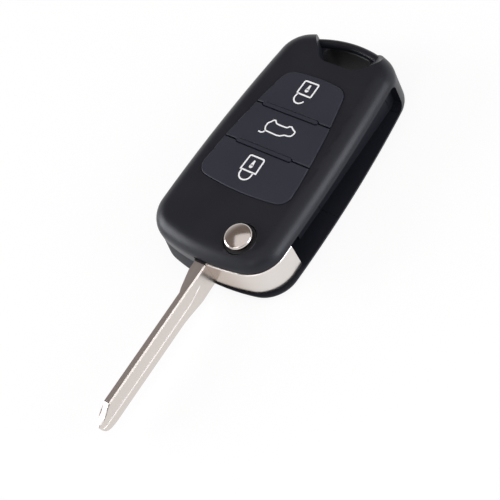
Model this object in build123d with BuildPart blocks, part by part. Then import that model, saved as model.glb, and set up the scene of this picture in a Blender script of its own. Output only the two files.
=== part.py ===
from build123d import *
from math import hypot
import os

# Flip key remote shell, millimetres.
# Origin: on the flat rear face, on the case's centre line, half way between blade end and ring end.
# X across the case towards the blade slot, Y along the case towards the key ring, Z out of the button face.

# Case outline
case_length = 75.0
case_height = 14.9
front_half_width = 20.55
side_taper = 2.85
side_bow = 1.225
front_bow = 3.5
ring_bow = 5.0
front_corner_radius = 9.2
ring_corner_radius = 9.3
lip_side_overhang = 0.45
shell_side_inset = 0.4
lip_front_overhang = 0.8
top_rounding = 4.6
bottom_rounding = 1.4
pick_margin = 0.05

# Walls, parting and seams
wall = 1.6
roof_thickness = 1.6
floor_thickness = 1.7
parting_height = 7.5
parting_gap = 0.05
seam_setback = 30.2
seam_gap = 0.12
ring_block_length = 10.8

# Blade slot along the right side and round the front corner
slot_ceiling = 11.15
slot_back_gap = 0.35
slot_back_wall = 1.45
slot_end_setback = 8.2
slot_end_rounding = 2.2

# Pivot of blade and carrier
pivot_side_setback = 11.75
pivot_front_setback = 9.2
hub_clearance = 0.35
hub_wall = 1.3
hub_radius = 7.4
carrier_side_inset = 0.8
carrier_front_inset = 0.45
carrier_gap = 0.15
carrier_end_offset = 5.0
carrier_edge_rounding = 0.25

# Blade, which rests turned a little past the case's own line
blade_offset = 7.9
blade_rest_turn = 0.88
blade_thickness = 2.1
blade_width = 6.8
blade_bottom = 3.7
blade_exposed = 48.4
blade_edge_chamfer = 0.55
root_flare = 1.5
root_flare_start = 9.0
root_flare_end = 2.6
tang_length = 9.0
tang_clearance = 0.04
shoulder_drop = 1.4
shoulder_length = 6.2
shoulder_runout = 8.0
tip_top_length = 3.6
tip_bottom_length = 4.4
tip_nose_drop = 3.7
tip_edge_thickness = 0.4
tip_facet_length = 5.5
tip_facet_drop = 2.4
face_step_width = 2.4
face_step_depth = 0.22
back_groove_width = 0.9
back_groove_depth = 0.7
back_groove_height = 3.1
groove_runout = 4.0
pin_radius = 0.8
pin_length = 6.6
pin_setback = 5.2
pin_chamfer = 0.2

# Release button
boss_radius = 2.9
boss_height = 2.7
running_clearance = 0.08
carrier_floor = 1.35
stem_radius = 4.35
stem_clearance = 0.1
stem_bottom = 5.4
stem_bore_radius = 3.5
stem_sink = 0.5
stem_roof = 1.9
shell_hole_clearance = 0.15
lug_reach = 6.0
lug_width = 2.4
lug_height = 1.9
lug_clearance = 0.1
keyway_depth = 4.8
lock_notch_depth = 1.0
cap_radius = 3.9
cap_side_height = 1.35
cap_dome_height = 0.45
cap_bevel = 0.7
cap_spigot_radius = 2.0
cap_spigot_length = 1.4
release_rim_rounding = 0.35
washer_thickness = 0.4
washer_clearance = 0.1
washer_bore_radius = 1.5
spring_wire = 0.7
spring_turns = 6.0
spring_clearance = 0.25

# Keypad
pad_top_setback = 16.2
pad_bottom_setback = 20.5
pad_top_side_gap = 8.1
pad_middle_side_gap = 8.25
pad_bottom_side_gap = 5.65
pad_top_bow = 0.9
pad_bottom_bow = 1.3
pad_top_corner = 4.2
pad_bottom_corner = 3.6
pad_rise = 0.4
pad_edge_rounding = 0.35
window_clearance = 0.15
unlock_key_length = 12.5
tailgate_key_length = 12.5
key_line_gap = 0.35
key_clearance = 0.15
key_travel = 0.6
bar_end_gap = 3.1
bar_width = 1.0
bar_rise = 0.15
bar_shift = -0.8
web_flange = 1.5
web_thickness = 0.95
web_clearance = 0.05
key_stem_radius = 2.0
key_stem_length = 0.8
key_skirt_inset = 0.6
key_ledge_clearance = 0.05

# Key ring end
ring_bar_width = 2.6
ring_bar_height = 10.7
ring_bar_reach = 20.0
ring_hole_corner = 1.8
scoop_setback = 10.7
scoop_wall_run = 1.0
scoop_left_x = -3.4
scoop_right_x = 8.0
scoop_floor_right_x = 7.0
scoop_flare = 0.9
scoop_corner = 4.0

# Inner tray, screws and chip pocket
tray_gap = 0.4
tray_top = 9.6
tray_thickness = 1.2
tray_rim_height = 1.0
tray_rim_wall = 0.9
cell_pocket_radius = 10.2
cell_wall = 0.9
cell_wall_height = 3.2
screw_boss_radius = 1.9
screw_pilot_radius = 0.65
screw_thread_radius = 0.6
screw_head_radius = 1.35
screw_head_height = 0.7
screw_slot_width = 0.4
screw_clearance = 0.2
screw_bite = 2.6
boss_gap = 0.12
boss_root = 0.12
side_screw_inset = 3.75
side_screw_seam_gap = 11.3
ring_screw_inset = 6.1
ring_screw_end_gap = 3.9
screw_boss_gap = 0.3
cover_boss_inset = 3.25
cover_boss_seam_gap = 2.9
cover_boss_radius = 1.5
cover_tongue_width = 3.4
cover_tongue_reach = 5.0
cover_tongue_thickness = 1.2
cover_tongue_gap = 0.1
chip_pocket_length = 12.4
chip_pocket_width = 5.6
chip_pocket_side_gap = 8.55
chip_pocket_front_gap = 12.5
chip_pocket_wall = 1.0
chip_pocket_height = 4.2

# Places worked out from the sizes above
ring_end_y = case_length / 2
lip_front_y = -case_length / 2
ring_half_width = front_half_width - side_taper
middle_half_width = (front_half_width + ring_half_width) / 2 + side_bow
ring_arc_radius = (ring_half_width**2 + ring_bow**2) / (2 * ring_bow)
ring_block_y = ring_end_y - ring_block_length
cover_end_y = ring_block_y - seam_gap
seam_y = lip_front_y + seam_setback
slot_end_y = ring_end_y - slot_end_setback
pivot_x = front_half_width - pivot_side_setback
pivot_y = lip_front_y + pivot_front_setback
pivot = (pivot_x, pivot_y)
shell_front_y = lip_front_y + lip_front_overhang
roof_underside = case_height - roof_thickness
slot_floor = floor_thickness
carrier_bottom = slot_floor + carrier_gap
carrier_top = slot_ceiling - carrier_gap
carrier_front_y = lip_front_y + carrier_front_inset
carrier_end_y = pivot_y + carrier_end_offset
blade_x = pivot_x - blade_offset
blade_right_x = blade_x + blade_thickness / 2
blade_left_x = blade_x - blade_thickness / 2
root_left_x = blade_left_x - root_flare
blade_top = blade_bottom + blade_width
blade_tip_y = carrier_front_y - blade_exposed
tip_nose_z = blade_top - tip_nose_drop
opening_left_x = root_left_x - hub_clearance
folded_blade_left_x = pivot_x + blade_offset - blade_thickness / 2
slot_back_x = folded_blade_left_x - slot_back_gap
back_wall_x = slot_back_x - slot_back_wall
bay_right_x = back_wall_x - parting_gap
pad_top_half_width = ring_half_width - pad_top_side_gap
pad_middle_half_width = middle_half_width - pad_middle_side_gap
pad_bottom_half_width = front_half_width - pad_bottom_side_gap
bar_length = 2 * (pad_middle_half_width - bar_end_gap)
pad_top_y = ring_end_y - pad_top_setback
pad_bottom_y = lip_front_y + pad_bottom_setback
key_line_upper_y = pad_top_y - unlock_key_length
key_line_lower_y = key_line_upper_y - tailgate_key_length
pad_top_z = case_height + pad_rise
web_top = roof_underside - web_clearance
web_bottom = web_top - web_thickness
web_pocket_floor = web_bottom - web_clearance
boss_top = slot_floor + boss_height
washer_top = boss_top + washer_thickness
stem_top = case_height - stem_sink
stem_hollow_top = stem_top - stem_roof
key_ledge_z = web_top + key_travel + key_ledge_clearance
key_skirt_bottom = web_pocket_floor + key_travel + key_ledge_clearance
lug_top = carrier_top - lug_clearance
tray_bottom = tray_top - tray_thickness
cover_tongue_top = slot_floor + screw_clearance + screw_head_height + cover_tongue_thickness
cover_boss = (cover_boss_inset - middle_half_width, seam_y + cover_boss_seam_gap)
side_screw = (side_screw_inset - middle_half_width, seam_y + side_screw_seam_gap)
ring_screw_y = ring_block_y - ring_screw_end_gap
left_ring_screw = (ring_screw_inset - ring_half_width, ring_screw_y)
right_ring_screw = (bay_right_x - screw_boss_gap - screw_boss_radius, ring_screw_y)
tray_screw_places = [side_screw, left_ring_screw, right_ring_screw]
cell_center = ((bay_right_x + wall - middle_half_width) / 2, (seam_y + cover_end_y) / 2)
chip_pocket_x = chip_pocket_side_gap - front_half_width
chip_pocket_y = lip_front_y + chip_pocket_front_gap
scoop_front_y = ring_end_y - scoop_setback
ring_bar_base = ring_bar_height - ring_bar_width / 2
far = case_length
tang_end_y = carrier_front_y + tang_length
pin_y = carrier_front_y + pin_setback
pin_z = blade_bottom + blade_width / 2
shoulder_end_y = carrier_front_y - shoulder_length
key_rows = [(key_line_upper_y, far), (key_line_lower_y, key_line_upper_y), (-far, key_line_lower_y)]


def case_outline(right_extra, front_extra, inset=0):
    """Plan outline of the case, drawn in by an inset: four bowed sides with rounded corners."""
    front_left = (-front_half_width, shell_front_y + front_bow - front_extra)
    front_right = (front_half_width + right_extra, shell_front_y + front_bow - front_extra)
    ring_right = (ring_half_width, ring_end_y - ring_bow)
    ring_left = (-ring_half_width, ring_end_y - ring_bow)
    with BuildSketch() as outline:
        with BuildLine():
            ThreePointArc(front_left, (right_extra / 2, shell_front_y - front_extra), front_right)
            ThreePointArc(front_right, (middle_half_width + right_extra, 0), ring_right)
            ThreePointArc(ring_right, (0, ring_end_y), ring_left)
            ThreePointArc(ring_left, (-middle_half_width, 0), front_left)
        make_face()
        if inset:
            offset(amount=-inset, kind=Kind.INTERSECTION)
        fillet(outline.vertices().sort_by(Axis.Y)[:2], front_corner_radius - inset)
        fillet(outline.vertices().sort_by(Axis.Y)[-2:], ring_corner_radius - inset)
    return outline.sketch


def shell_plan(inset=0):
    """Outline of the upper shell."""
    return case_outline(-shell_side_inset, 0, inset)


def lip_plan(inset=0):
    """Outline of the rear lip, which stands out under the blade slot and in front."""
    return case_outline(lip_side_overhang, lip_front_overhang, inset)


def carrier_plan():
    """Outline that the blade carrier follows round the front corner, inside the rear lip."""
    return case_outline(lip_side_overhang - carrier_side_inset, lip_front_overhang - carrier_front_inset)


shell_outline = shell_plan()
lip_outline = lip_plan()
carrier_outline = carrier_plan()
carrier_right_x = carrier_outline.bounding_box().max.X
carrier_reach = hypot(carrier_right_x - pivot_x, carrier_end_offset)
hub_cavity_radius = carrier_reach + hub_clearance
hub_wall_radius = hub_cavity_radius + hub_wall


def pad_outline(grow):
    """Outline of the button window, widest towards the blade, grown on all sides."""
    with BuildSketch() as outline:
        with BuildLine():
            ThreePointArc(
                (-pad_bottom_half_width, pad_bottom_y + pad_bottom_bow),
                (0, pad_bottom_y),
                (pad_bottom_half_width, pad_bottom_y + pad_bottom_bow),
            )
            ThreePointArc(
                (pad_bottom_half_width, pad_bottom_y + pad_bottom_bow),
                (pad_middle_half_width, key_line_upper_y),
                (pad_top_half_width, pad_top_y - pad_top_bow),
            )
            ThreePointArc(
                (pad_top_half_width, pad_top_y - pad_top_bow),
                (0, pad_top_y),
                (-pad_top_half_width, pad_top_y - pad_top_bow),
            )
            ThreePointArc(
                (-pad_top_half_width, pad_top_y - pad_top_bow),
                (-pad_middle_half_width, key_line_upper_y),
                (-pad_bottom_half_width, pad_bottom_y + pad_bottom_bow),
            )
        make_face()
        if grow:
            offset(amount=grow, kind=Kind.INTERSECTION)
        fillet(outline.vertices().group_by(Axis.Y)[0], pad_bottom_corner + grow)
        fillet(outline.vertices().group_by(Axis.Y)[-1], pad_top_corner + grow)
    return outline.sketch


def prism(plan, bottom, top, mode=Mode.ADD):
    """Upright solid on a plan outline between two heights."""
    extrude(plan.moved(Location((0, 0, bottom))), amount=top - bottom, mode=mode)


def block(x_span, y_span, z_span, mode=Mode.ADD):
    """Box given by its spans along X, Y and Z."""
    spans = (x_span, y_span, z_span)
    with Locations(tuple((low + high) / 2 for low, high in spans)):
        Box(*(high - low for low, high in spans), mode=mode)


def disc(center, radius, bottom, top, mode=Mode.ADD):
    """Upright cylinder between two heights."""
    with Locations((center[0], center[1], (bottom + top) / 2)):
        Cylinder(radius, top - bottom, mode=mode)


def clip(x_span, y_span, mode=Mode.INTERSECT):
    """Rectangle of the plan that trims the sketch being drawn."""
    with Locations(((x_span[0] + x_span[1]) / 2, (y_span[0] + y_span[1]) / 2)):
        Rectangle(x_span[1] - x_span[0], y_span[1] - y_span[0], mode=mode)


def slice_of(outline, y_low, y_high):
    """Part of an outline between two cross lines."""
    with BuildSketch() as piece:
        add(outline)
        clip((-far, far), (y_low, y_high))
    return piece.sketch


def bay_plan(gap):
    """Hollow left of the slot and behind the hub, drawn in from the walls by a gap."""
    with BuildSketch() as bay:
        add(shell_plan(wall + gap))
        clip((-far, bay_right_x - gap), (-far, ring_block_y - wall - gap))
        clip((opening_left_x - wall - gap, far), (-far, pivot_y), Mode.SUBTRACT)
        with Locations(pivot):
            Circle(hub_wall_radius + gap, mode=Mode.SUBTRACT)
    return bay.sketch


def scoop_plan(wall_run, right_x, right_flare, corner):
    """Plan of the key ring scoop at one height, open towards the ring end."""
    front_y = scoop_front_y + wall_run
    back_y = ring_end_y + scoop_setback
    with BuildSketch() as scoop:
        with BuildLine():
            Polyline(
                (scoop_left_x - scoop_flare * wall_run, front_y),
                (right_x, front_y),
                (right_x + right_flare * (back_y - front_y), back_y),
                (scoop_left_x - scoop_flare * (back_y - scoop_front_y), back_y),
                close=True,
            )
        make_face()
        if corner:
            fillet(scoop.vertices().group_by(Axis.Y)[0], corner)
    return scoop.sketch


def cut_blade_space(bottom, top):
    """Hub cavity, mouth round the front corner and side slot that the blade turns through."""
    disc(pivot, hub_cavity_radius, bottom, top, Mode.SUBTRACT)
    block((opening_left_x, far), (-far, pivot_y), (bottom, top), Mode.SUBTRACT)
    block((slot_back_x, far), (pivot_y, ring_block_y), (bottom, top), Mode.SUBTRACT)


def rear_body(y_low, y_high):
    """Rear part of the case between two cross lines: rounded lip below, leaning walls above."""
    prism(slice_of(lip_outline, y_low, y_high), 0, slot_floor)
    rear_edges = faces().sort_by(Axis.Z)[0].edges()
    fillet(rear_edges.filter_by_position(Axis.Y, y_low + pick_margin, y_high - pick_margin), bottom_rounding)
    with BuildPart(mode=Mode.PRIVATE) as wall_slice:
        add(wall_form.part)
        block((-far, far), (y_low, y_high), (slot_floor, parting_height), Mode.INTERSECT)
    add(wall_slice.part)


def tip_cut(length, drop, bend):
    """Side view of what is cut off the tip's upper corner; the bend makes its curve bulge or sag."""
    start = (blade_tip_y + length, blade_top)
    end = (blade_tip_y, blade_top - drop)
    with BuildSketch() as cut:
        with BuildLine():
            if bend < 0:
                TangentArc(start, end, tangent=(-1, 0))
            else:
                TangentArc(end, start, tangent=(1, 0))
            Polyline(
                end,
                (blade_tip_y - tip_nose_drop, blade_top - drop),
                (blade_tip_y - tip_nose_drop, blade_top + tip_nose_drop),
                (blade_tip_y + length, blade_top + tip_nose_drop),
                start,
            )
        make_face()
    return cut.sketch


def cover_half(y_low, y_high):
    """Tray-shaped rear part of the case between two cross lines, with its bay and blade space."""
    rear_body(y_low, y_high)
    prism(bay_plan(0), slot_floor, parting_height, Mode.SUBTRACT)
    cut_blade_space(slot_floor, parting_height)
    with BuildSketch() as back_wall:
        clip((back_wall_x, slot_back_x), (pivot_y, ring_block_y), Mode.ADD)
        clip((-far, far), (y_low, y_high))
        with Locations(pivot):
            Circle(hub_cavity_radius, mode=Mode.SUBTRACT)
    prism(back_wall.sketch, 0, slot_ceiling - parting_gap)


# Walls between the rear lip and the parting, leaning in towards the upper shell
with BuildPart() as wall_form:
    with BuildSketch(Plane.XY.offset(slot_floor)):
        add(lip_outline)
    with BuildSketch(Plane.XY.offset(parting_height)):
        add(shell_outline)
    loft(ruled=True)

# Inner form of the shell's roof
with BuildPart() as bay_form:
    with BuildSketch(Plane.XY.offset(parting_height)):
        add(shell_plan(wall))
    extrude(amount=roof_underside - parting_height)
    fillet(bay_form.edges().group_by(Axis.Z)[-1], top_rounding - wall)
    prism(bay_plan(0), parting_height, roof_underside, Mode.INTERSECT)

# Upper shell with the ring end
with BuildPart() as front_shell:
    rear_body(ring_block_y, far)
    with BuildSketch(Plane.XY.offset(parting_height)):
        add(shell_outline)
    extrude(amount=case_height - parting_height)
    fillet(front_shell.edges().group_by(Axis.Z)[-1], top_rounding)
    disc(pivot, stem_radius + shell_hole_clearance, slot_ceiling, case_height, Mode.SUBTRACT)
    fillet(front_shell.edges().group_by(Axis.Z)[-1].filter_by(GeomType.CIRCLE), release_rim_rounding)
    add(bay_form.part, mode=Mode.SUBTRACT)

    cut_blade_space(0, slot_ceiling)
    block((bay_right_x, far), (pivot_y, ring_block_y), (0, slot_ceiling), Mode.SUBTRACT)
    with BuildSketch(Plane.YZ.offset(slot_back_x)):
        with Locations((slot_end_y - case_length / 4, (slot_floor + slot_ceiling) / 2)):
            RectangleRounded(case_length / 2, slot_ceiling - slot_floor, slot_end_rounding)
    extrude(amount=far, mode=Mode.SUBTRACT)

    prism(pad_outline(web_flange + key_clearance), web_pocket_floor, roof_underside, Mode.SUBTRACT)
    prism(pad_outline(window_clearance), web_pocket_floor, far, Mode.SUBTRACT)

    block(
        (pivot_x - lug_reach - lug_clearance, pivot_x + lug_reach + lug_clearance),
        (pivot_y - lug_width / 2 - lug_clearance, pivot_y + lug_width / 2 + lug_clearance),
        (slot_ceiling, slot_ceiling + lock_notch_depth),
        Mode.SUBTRACT,
    )

    for place in tray_screw_places:
        disc(place, screw_boss_radius, tray_top + boss_gap, roof_underside + boss_root)
        disc(place, screw_pilot_radius, tray_top, tray_top + screw_bite + screw_clearance, Mode.SUBTRACT)
    disc(cover_boss, cover_boss_radius, cover_tongue_top + parting_gap, roof_underside + boss_root)
    pilot_end = cover_tongue_top + screw_bite + screw_clearance
    disc(cover_boss, screw_pilot_radius, cover_tongue_top, pilot_end, Mode.SUBTRACT)

    with BuildSketch(Plane.XY.offset(ring_bar_base)):
        add(scoop_plan(scoop_wall_run, scoop_floor_right_x, 0, scoop_corner))
    with BuildSketch(Plane.XY.offset(case_height)):
        add(scoop_plan(0, scoop_right_x, scoop_flare, scoop_corner))
    loft(ruled=True, mode=Mode.SUBTRACT)
    with BuildSketch() as ring_hole:
        add(scoop_plan(scoop_wall_run, scoop_floor_right_x, 0, 0))
        add(shell_plan(ring_bar_width), mode=Mode.INTERSECT)
        fillet(ring_hole.vertices(), ring_hole_corner)
    extrude(amount=case_height, mode=Mode.SUBTRACT)
    with BuildLine(Plane.XY.offset(ring_bar_base)) as bar_line:
        CenterArc(
            (0, ring_end_y - ring_arc_radius),
            ring_arc_radius - ring_bar_width / 2,
            90 - ring_bar_reach,
            2 * ring_bar_reach,
        )
    with BuildSketch(Plane(bar_line.line @ 0, x_dir=(0, 0, 1), z_dir=bar_line.line % 0)):
        Circle(ring_bar_width / 2)
        with Locations((-ring_bar_width / 2, 0)):
            Rectangle(ring_bar_width, ring_bar_width, mode=Mode.SUBTRACT)
    sweep(path=bar_line.line)

# Rear cover under the pivot
with BuildPart() as pivot_cover:
    cover_half(-far, seam_y - seam_gap / 2)
    disc(pivot, boss_radius, slot_floor, boss_top)
    with Locations((chip_pocket_x, chip_pocket_y, slot_floor + chip_pocket_height / 2)):
        Box(
            chip_pocket_width + 2 * chip_pocket_wall,
            chip_pocket_length + 2 * chip_pocket_wall,
            chip_pocket_height,
        )
        Box(chip_pocket_width, chip_pocket_length, chip_pocket_height, mode=Mode.SUBTRACT)
    tongue_span = (cover_boss[0] - cover_tongue_width / 2, cover_boss[0] + cover_tongue_width / 2)
    tongue_root_y = seam_y - seam_gap / 2
    block(tongue_span, (tongue_root_y - cover_tongue_reach, tongue_root_y), (slot_floor, cover_tongue_top))
    block(
        tongue_span,
        (tongue_root_y, seam_y + cover_tongue_reach),
        (cover_tongue_top - cover_tongue_thickness, cover_tongue_top),
    )
    disc(cover_boss, screw_thread_radius + screw_clearance, slot_floor, far, Mode.SUBTRACT)

# Rear cover over the coin cell
with BuildPart() as battery_cover:
    cover_half(seam_y + seam_gap / 2, cover_end_y)

# Blade carrier, turning on the pivot boss
with BuildPart() as blade_carrier:
    with BuildSketch(Plane.XY.offset(carrier_bottom)):
        add(carrier_outline)
        clip((root_left_x, far), (-far, carrier_end_y))
        with Locations(pivot):
            Circle(hub_radius)
    extrude(amount=carrier_top - carrier_bottom)
    rims = blade_carrier.edges().group_by(Axis.Z)
    fillet(rims[0] + rims[-1], carrier_edge_rounding)
    disc(pivot, boss_radius + running_clearance, carrier_bottom, carrier_top, Mode.SUBTRACT)
    disc(pivot, stem_radius + stem_clearance, carrier_bottom + carrier_floor, carrier_top, Mode.SUBTRACT)
    block(
        (pivot_x - lug_reach - lug_clearance, pivot_x + lug_reach + lug_clearance),
        (pivot_y - lug_width / 2 - lug_clearance, pivot_y + lug_width / 2 + lug_clearance),
        (carrier_top - keyway_depth, carrier_top),
        Mode.SUBTRACT,
    )
    block(
        (blade_left_x - tang_clearance, blade_right_x + tang_clearance),
        (-far, tang_end_y + tang_clearance),
        (blade_bottom - tang_clearance, blade_top + tang_clearance),
        Mode.SUBTRACT,
    )
    with BuildSketch(Plane.YZ.offset(root_left_x)):
        with Locations((pin_y, pin_z)):
            Circle(pin_radius + tang_clearance)
    extrude(amount=pin_length + tang_clearance, mode=Mode.SUBTRACT)

# Steel pin through carrier and tang
with BuildPart() as blade_pin:
    with BuildSketch(Plane.YZ.offset(root_left_x + tang_clearance)):
        with Locations((pin_y, pin_z)):
            Circle(pin_radius)
    extrude(amount=pin_length - tang_clearance)
    chamfer(blade_pin.edges().filter_by(GeomType.CIRCLE), pin_chamfer)

# Key blade standing on edge, uncut
with BuildPart() as key_blade:
    with BuildSketch(Plane.YZ.offset(root_left_x)):
        with BuildLine():
            brow = TangentArc(
                (blade_tip_y + tip_top_length, blade_top),
                (blade_tip_y, tip_nose_z),
                tangent=(-1, 0),
            )
            chin = TangentArc(
                (blade_tip_y + tip_bottom_length, blade_bottom),
                (blade_tip_y, tip_nose_z),
                tangent=(-1, 0),
            )
            Polyline(
                chin @ 0,
                (shoulder_end_y - shoulder_runout, blade_bottom),
                (shoulder_end_y, blade_bottom - shoulder_drop),
                (carrier_front_y, blade_bottom - shoulder_drop),
                (carrier_front_y, blade_bottom),
                (tang_end_y, blade_bottom),
                (tang_end_y, blade_top),
                brow @ 0,
            )
        make_face()
    extrude(amount=blade_thickness + root_flare)
    with BuildSketch():
        with BuildLine():
            Polyline(
                (blade_left_x, tang_end_y),
                (blade_left_x, carrier_front_y),
                (root_left_x, carrier_front_y),
                (root_left_x, carrier_front_y - root_flare_end),
                (blade_left_x, carrier_front_y - root_flare_start),
                (blade_left_x, blade_tip_y),
                (blade_right_x, blade_tip_y),
                (blade_right_x, tang_end_y),
                close=True,
            )
        make_face()
    extrude(amount=case_height, mode=Mode.INTERSECT)
    long_edges = key_blade.edges().filter_by(Axis.Y).filter_by(lambda e: e.center().Y < carrier_front_y)
    chamfer(long_edges.filter_by(lambda e: e.length > blade_exposed / 2), blade_edge_chamfer)
    with BuildSketch(Plane.YZ.offset(blade_left_x + tip_edge_thickness)):
        add(tip_cut(tip_top_length, tip_nose_drop, -1))
    with BuildSketch(Plane.YZ.offset(blade_right_x)):
        add(tip_cut(tip_facet_length, tip_facet_drop, 1))
    loft(ruled=True, mode=Mode.SUBTRACT)
    block(
        (blade_right_x - face_step_depth, far),
        (-far, carrier_front_y - groove_runout),
        (0, blade_bottom + face_step_width),
        Mode.SUBTRACT,
    )
    block(
        (-far, blade_left_x + back_groove_depth),
        (-far, carrier_front_y - root_flare_start),
        (blade_bottom + back_groove_height, blade_bottom + back_groove_height + back_groove_width),
        Mode.SUBTRACT,
    )
    with BuildSketch(Plane.YZ.offset(root_left_x)):
        with Locations((pin_y, pin_z)):
            Circle(pin_radius + tang_clearance)
    extrude(amount=far, mode=Mode.SUBTRACT)

# Release button: stem in the carrier, metal cap on top, spring and washer below
with BuildPart() as release_stem:
    disc(pivot, stem_radius, stem_bottom, stem_top)
    block(
        (pivot_x - lug_reach, pivot_x + lug_reach),
        (pivot_y - lug_width / 2, pivot_y + lug_width / 2),
        (lug_top - lug_height, lug_top),
    )
    disc(pivot, stem_bore_radius, stem_bottom, stem_hollow_top, Mode.SUBTRACT)
    disc(pivot, cap_spigot_radius + tang_clearance, stem_top - cap_spigot_length, stem_top, Mode.SUBTRACT)

with BuildPart() as release_cap:
    with BuildSketch(Plane.XZ.offset(-pivot_y)) as cap_profile:
        side_top = stem_top + cap_side_height
        crown = side_top + cap_bevel + cap_dome_height
        with BuildLine():
            Polyline(
                (pivot_x, crown),
                (pivot_x, stem_top - cap_spigot_length + tang_clearance),
                (pivot_x + cap_spigot_radius, stem_top - cap_spigot_length + tang_clearance),
                (pivot_x + cap_spigot_radius, stem_top),
                (pivot_x + cap_radius, stem_top),
                (pivot_x + cap_radius, side_top),
                (pivot_x + cap_radius - cap_bevel, side_top + cap_bevel),
            )
            TangentArc(
                (pivot_x, crown),
                (pivot_x + cap_radius - cap_bevel, side_top + cap_bevel),
                tangent=(1, 0),
            )
        make_face()
    revolve(axis=Axis((pivot_x, pivot_y, 0), (0, 0, 1)))

with BuildPart() as spring_washer:
    disc(pivot, stem_bore_radius - washer_clearance, boss_top, washer_top)
    disc(pivot, washer_bore_radius, boss_top, washer_top, Mode.SUBTRACT)

with BuildPart() as flip_spring:
    coil_radius = stem_bore_radius - spring_clearance - spring_wire / 2
    coil_height = stem_hollow_top - washer_top - spring_wire
    with BuildLine(Plane.XY.offset(washer_top + spring_wire / 2)) as coil:
        with Locations(pivot):
            Helix(coil_height / spring_turns, coil_height, coil_radius, center=(pivot_x, pivot_y, 0))
    with BuildSketch(Plane(coil.line @ 0, z_dir=coil.line % 0)):
        Circle(spring_wire / 2)
    sweep()


def key_zone(y_low, y_high):
    """Visible top of one key: a slice of the pad, cleared round the raised bars."""
    with BuildSketch() as zone:
        add(slice_of(pad_outline(0), y_low + key_line_gap / 2, y_high - key_line_gap / 2))
        for line_y in (key_line_upper_y, key_line_lower_y):
            with Locations((bar_shift, line_y)):
                SlotOverall(
                    bar_length + 2 * key_clearance,
                    bar_width + 2 * key_clearance,
                    mode=Mode.SUBTRACT,
                )
    return zone.sketch


def skirt_zone(y_low, y_high, gap):
    """Narrower lower part of one key, or the hole for it in the web."""
    inset = key_skirt_inset - gap
    return slice_of(pad_outline(-inset), y_low + inset, y_high - inset)


def make_key(y_low, y_high):
    """One key: top plate, skirt through the web and stem for its switch."""
    with BuildPart() as key:
        prism(key_zone(y_low, y_high), key_ledge_z, pad_top_z)
        top_edges = key.edges().group_by(Axis.Z)[-1]
        fillet(top_edges, pad_edge_rounding)
        prism(skirt_zone(y_low, y_high, 0), key_skirt_bottom, key_ledge_z)
        stem_y = (max(y_low, pad_bottom_y) + min(y_high, pad_top_y)) / 2
        disc((bar_shift, stem_y), key_stem_radius, key_skirt_bottom - key_stem_length, key_skirt_bottom)
    return key.part


# Keypad: web under the roof and three keys
with BuildPart() as keypad_web:
    prism(pad_outline(web_flange), web_bottom, web_top)
    for y_low, y_high in key_rows:
        prism(skirt_zone(y_low, y_high, key_clearance), web_bottom, web_top, Mode.SUBTRACT)
    for line_y in (key_line_upper_y, key_line_lower_y):
        with BuildSketch(Plane.XY.offset(web_top)):
            with Locations((bar_shift, line_y)):
                SlotOverall(bar_length, bar_width)
        extrude(amount=pad_top_z + bar_rise - web_top)

with BuildPart() as unlock_key:
    add(make_key(*key_rows[0]))

with BuildPart() as tailgate_key:
    add(make_key(*key_rows[1]))

with BuildPart() as lock_key:
    add(make_key(*key_rows[2]))

# Tray that carries the circuit board and the coin cell
with BuildPart() as board_tray:
    with BuildSketch(Plane.XY.offset(tray_bottom)) as tray_plan:
        add(bay_plan(tray_gap))
        with Locations(cover_boss):
            Circle(cover_boss_radius + screw_clearance, mode=Mode.SUBTRACT)
    extrude(amount=tray_thickness)
    with BuildSketch(Plane.XY.offset(tray_top)):
        add(tray_plan.sketch_local)
        add(bay_plan(tray_gap + tray_rim_wall), mode=Mode.SUBTRACT)
        with Locations(*tray_screw_places):
            Circle(screw_boss_radius + screw_clearance, mode=Mode.SUBTRACT)
    extrude(amount=tray_rim_height)
    disc(cell_center, cell_pocket_radius + cell_wall, tray_bottom - cell_wall_height, tray_bottom)
    disc(cell_center, cell_pocket_radius, tray_bottom - cell_wall_height, tray_bottom, Mode.SUBTRACT)
    for place in tray_screw_places:
        disc(place, screw_thread_radius + screw_clearance, tray_bottom, tray_top, Mode.SUBTRACT)


def make_screw(center, seat_z, length):
    """Pan-head screw driven upward, head below its seat, with a cross recess."""
    with BuildPart() as screw:
        disc(center, screw_thread_radius, seat_z, seat_z + length)
        disc(center, screw_head_radius, seat_z - screw_head_height, seat_z)
        chamfer(faces().sort_by(Axis.Z)[0].edges(), screw_head_height / 3)
        with Locations((center[0], center[1], seat_z - screw_head_height)):
            Box(screw_head_radius, screw_slot_width, screw_head_height, mode=Mode.SUBTRACT)
            Box(screw_slot_width, screw_head_radius, screw_head_height, mode=Mode.SUBTRACT)
    return screw.part


with BuildPart() as tray_screws:
    for place in tray_screw_places:
        add(make_screw(place, tray_bottom, tray_thickness + screw_bite))

with BuildPart() as cover_screw:
    tongue_underside = cover_tongue_top - cover_tongue_thickness
    add(make_screw(cover_boss, tongue_underside, cover_tongue_thickness + screw_bite))

nodes = {
    "front_shell": front_shell,
    "pivot_cover": pivot_cover,
    "battery_cover": battery_cover,
    "keypad_web": keypad_web,
    "unlock_key": unlock_key,
    "tailgate_key": tailgate_key,
    "lock_key": lock_key,
    "board_tray": board_tray,
    "tray_screws": tray_screws,
    "cover_screw": cover_screw,
    "blade_carrier": blade_carrier,
    "key_blade": key_blade,
    "blade_pin": blade_pin,
    "release_cap": release_cap,
    "release_stem": release_stem,
    "flip_spring": flip_spring,
    "spring_washer": spring_washer,
}
turned_nodes = ("blade_carrier", "key_blade", "blade_pin", "release_stem")
pivot_axis = Axis((pivot_x, pivot_y, 0), (0, 0, 1))
os.makedirs("parts", exist_ok=True)
for name, built in nodes.items():
    solid = built.part
    if name in turned_nodes:
        solid = solid.rotate(pivot_axis, blade_rest_turn)
    solid.label = name
    export_step(solid, f"parts/{name}.step")
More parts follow.
